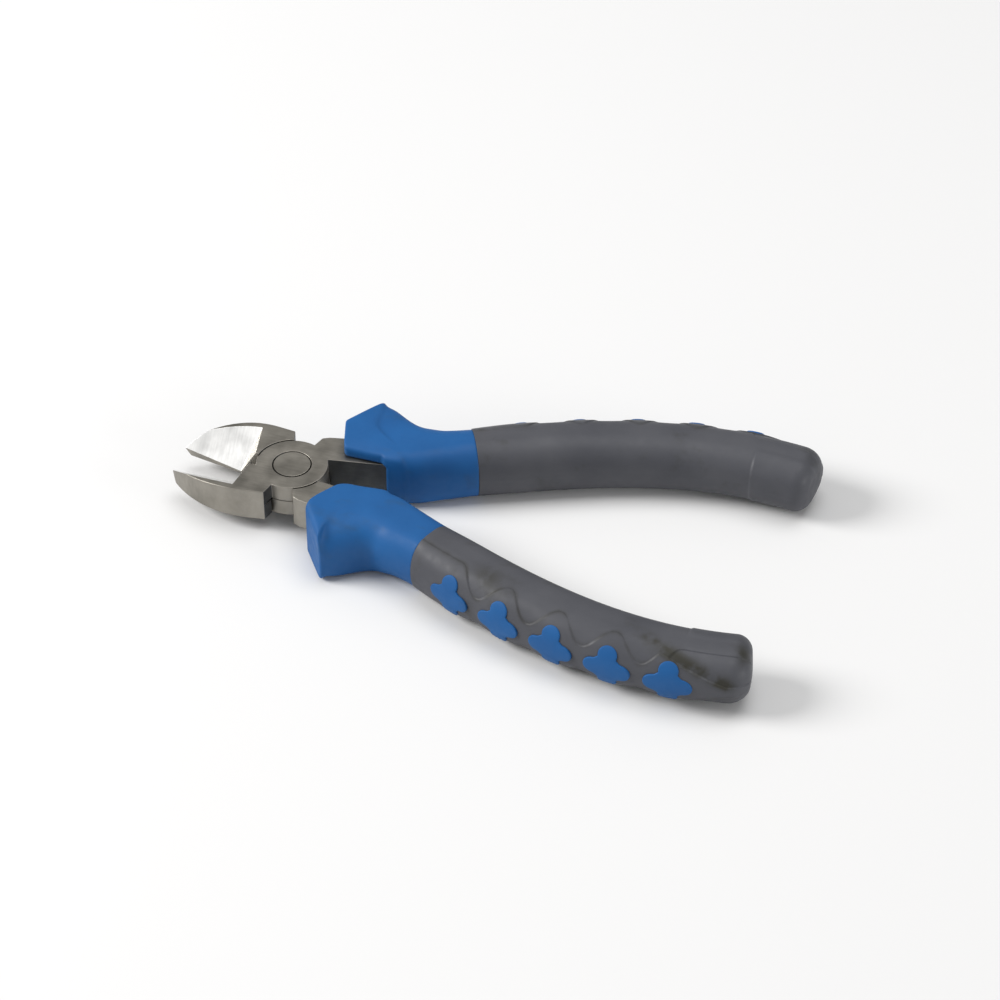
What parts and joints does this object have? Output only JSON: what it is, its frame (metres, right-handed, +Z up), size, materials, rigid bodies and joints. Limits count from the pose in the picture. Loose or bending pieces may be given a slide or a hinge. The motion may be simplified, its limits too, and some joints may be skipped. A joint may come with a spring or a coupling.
{
  "type": "diagonal cutting pliers",
  "caption": "Lap-jointed diagonal cutting pliers with ground cutting jaws, a flush pivot rivet and two-material grips with flared thumb guards.",
  "frame": {"origin": "centre of the bounding box in plan, on the plane that the grips lie on", "axes": "+X along the tool from the jaws to the handle ends, +Y from the front handle to the back handle, +Z up along the pivot"},
  "size_m": [0.1762, 0.1016, 0.0183],
  "materials": {
    "ground_steel": "ground and lightly oiled",
    "rivet_steel": "ground flush",
    "grey_grip": "fine spark-eroded matte",
    "blue_soft": "soft-touch elastomer"
  },
  "bodies": {
    "upper_half": {"upper_lever": "ground_steel", "upper_grip_core": "grey_grip", "upper_thumb_guard": "blue_soft", "upper_grip_pad_1": "blue_soft", "upper_grip_pad_2": "blue_soft", "upper_grip_pad_3": "blue_soft", "upper_grip_pad_4": "blue_soft", "upper_grip_pad_5": "blue_soft"},
    "lower_half": {"lower_lever": "ground_steel", "lower_grip_core": "grey_grip", "lower_thumb_guard": "blue_soft", "lower_grip_pad_1": "blue_soft", "lower_grip_pad_2": "blue_soft", "lower_grip_pad_3": "blue_soft", "lower_grip_pad_4": "blue_soft", "lower_grip_pad_5": "blue_soft", "pivot_rivet": "rivet_steel"}
  },
  "joints": [
    {"name": "jaw_pivot", "type": "hinge", "parent": "lower_half", "child": "upper_half", "pos_m": [-0.05417, 0, 0.00917], "axis": [0, 0, 1], "range_deg": [-16.5, 33.5]}
  ]
}
